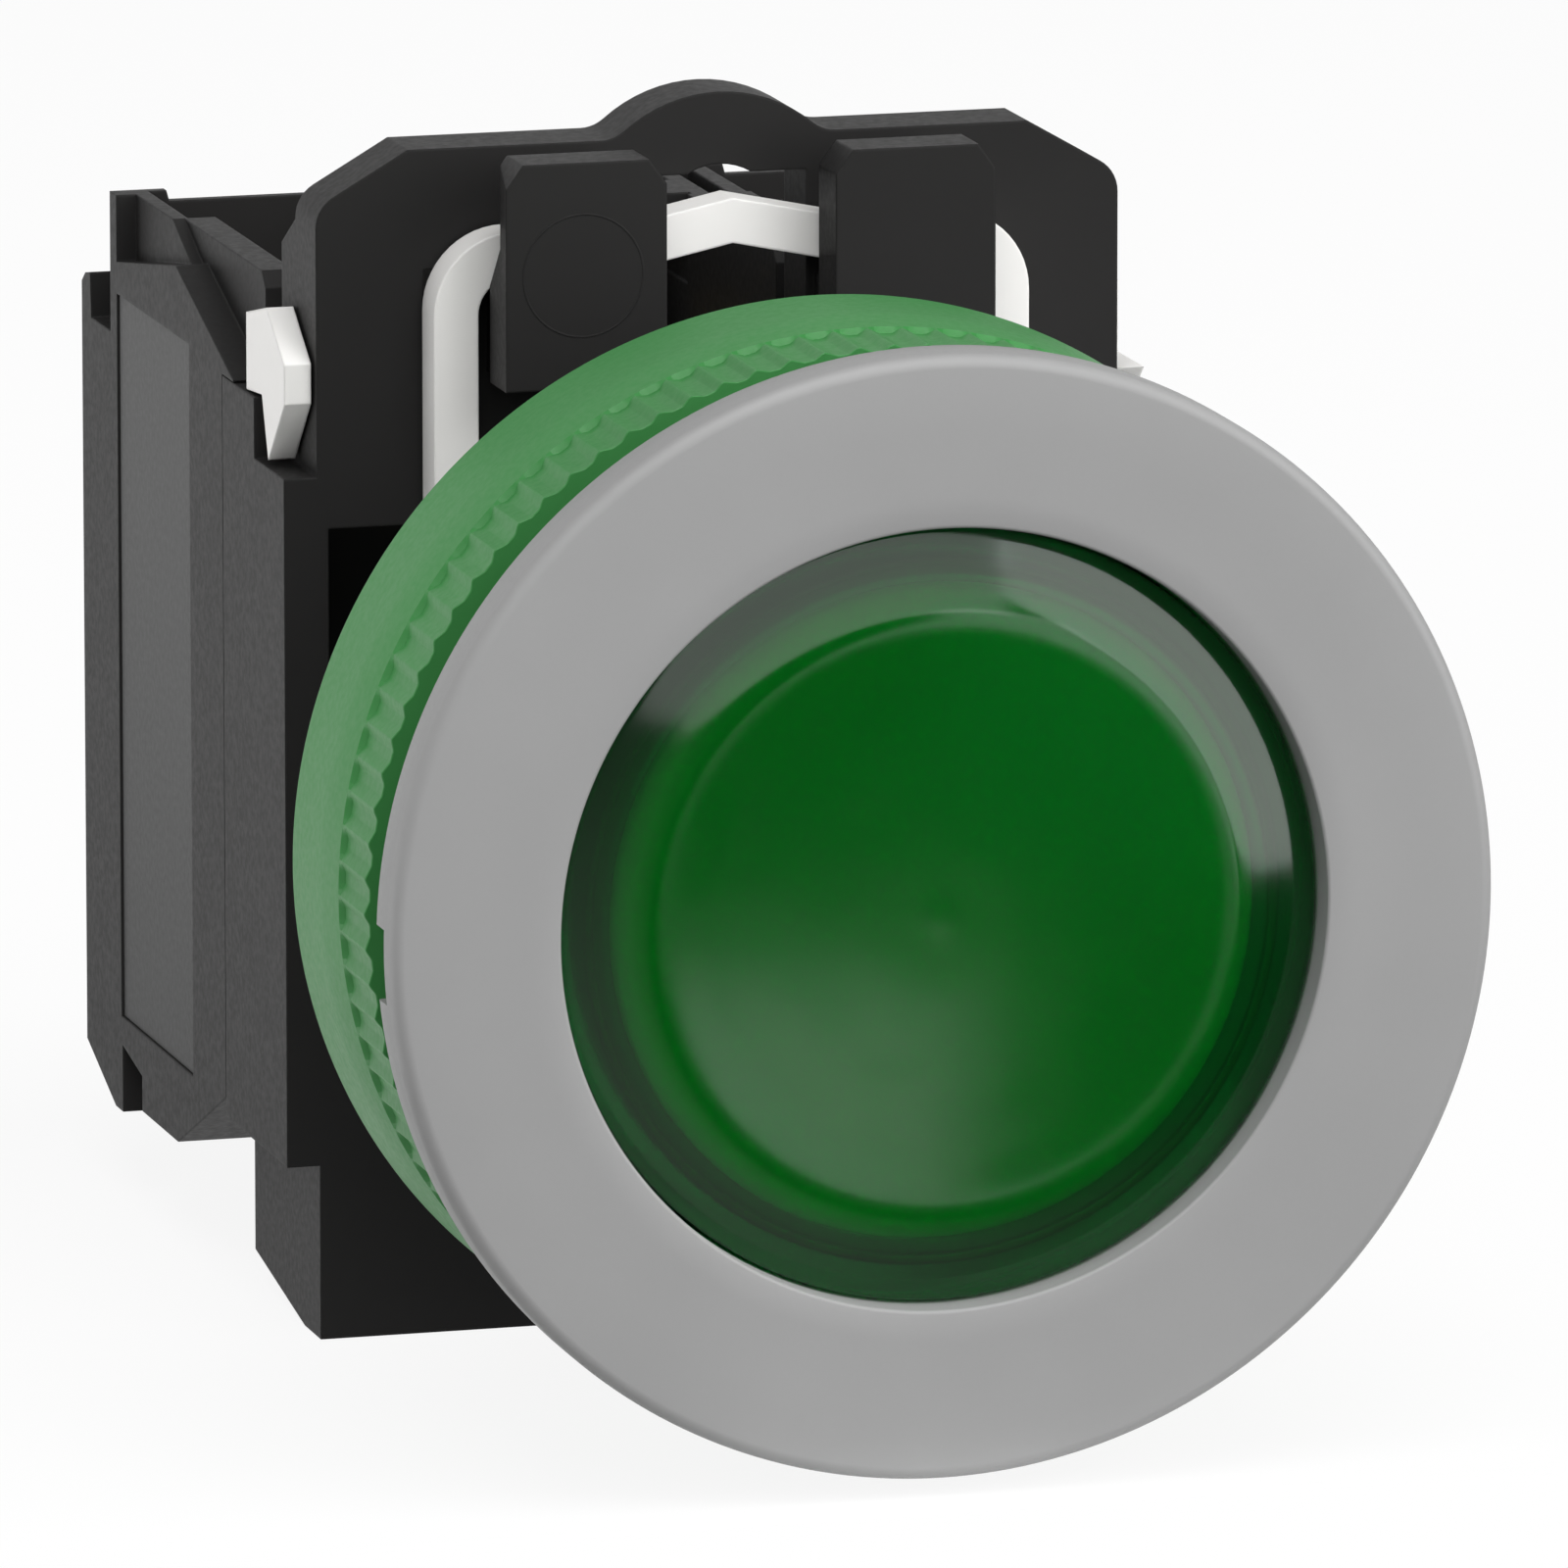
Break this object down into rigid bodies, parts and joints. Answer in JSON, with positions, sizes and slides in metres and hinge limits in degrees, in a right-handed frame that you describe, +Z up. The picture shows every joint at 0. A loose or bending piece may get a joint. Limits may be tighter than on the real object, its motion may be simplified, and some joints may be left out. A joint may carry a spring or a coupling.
{
  "type": "illuminated push button",
  "caption": "Flush spring-return push button with a lit green lens, knurled clamp ring, fixing collar with sliding lock and rear contact and lamp blocks.",
  "frame": {"origin": "on the button axis in the plane where the bezel seats on the panel", "axes": "+Y along the button axis into the cabinet, +Z up, +X to the right seen from the front"},
  "size_m": [0.036, 0.0536, 0.0406],
  "materials": {
    "bezel_metal": "fine satin",
    "seal_rubber": "matte",
    "green_plastic": "satin moulded",
    "lens_green": "clear polished plastic",
    "diffuser_white": "frosted",
    "black_plastic": "satin moulded",
    "spring_steel": "drawn wire",
    "dark_plastic": "fine moulded",
    "white_plastic": "satin moulded",
    "zinc_steel": "zinc plated",
    "lamp_lens": "frosted dome",
    "board_green": "glass fibre board",
    "contact_brass": "plain",
    "label_grey": "printed area left bare"
  },
  "bodies": {
    "housing": {"bezel": "bezel_metal", "panel_gasket": "seal_rubber", "clamp_ring": "green_plastic", "stem": "black_plastic", "collar_frame": "dark_plastic", "collar_screw": "zinc_steel", "lamp": "lamp_lens", "lamp_board": "board_green", "block_housing_left": "dark_plastic", "block_housing_centre": "dark_plastic", "block_housing_right": "dark_plastic", "contact_strips_left": "contact_brass", "contact_strips_centre": "contact_brass", "contact_strips_right": "contact_brass", "terminal_clamps_left": "zinc_steel", "terminal_clamps_centre": "zinc_steel", "terminal_clamps_right": "zinc_steel", "terminal_screws_left": "zinc_steel", "terminal_screws_centre": "zinc_steel", "terminal_screws_right": "zinc_steel", "label_plate_left": "label_grey", "label_plate_right": "label_grey", "return_spring": "spring_steel", "contact_spring_left": "spring_steel", "contact_spring_right": "spring_steel"},
    "button": {"lens": "lens_green", "diffuser": "diffuser_white", "pusher": "black_plastic", "button_seal": "seal_rubber"},
    "left_contact": {"contact_plunger_left": "black_plastic", "contact_bridge_left": "contact_brass"},
    "right_contact": {"contact_plunger_right": "black_plastic", "contact_bridge_right": "contact_brass"},
    "lock": {"locking_yoke": "white_plastic"}
  },
  "joints": [
    {"name": "button_press", "type": "slide", "parent": "housing", "child": "button", "axis": [0, 1, 0], "range_m": [0, 0.0035], "stiffness_N_per_m": 800, "springref_m": -0.002, "deforming": ["return_spring"]},
    {"name": "left_contact_slide", "type": "slide", "parent": "housing", "child": "left_contact", "axis": [0, 1, 0], "range_m": [0, 0.0035], "stiffness_N_per_m": 150, "springref_m": -0.001, "deforming": ["contact_spring_left"]},
    {"name": "right_contact_slide", "type": "slide", "parent": "housing", "child": "right_contact", "axis": [0, 1, 0], "range_m": [0, 0.0035], "stiffness_N_per_m": 150, "springref_m": -0.001, "deforming": ["contact_spring_right"]},
    {"name": "lock_slide", "type": "slide", "parent": "housing", "child": "lock", "axis": [0, 0, 1], "range_m": [0, 0.002]}
  ],
  "couplings": [
    {"joint": "left_contact_slide", "follows": "button_press", "ratio": 1},
    {"joint": "right_contact_slide", "follows": "button_press", "ratio": 1}
  ]
}
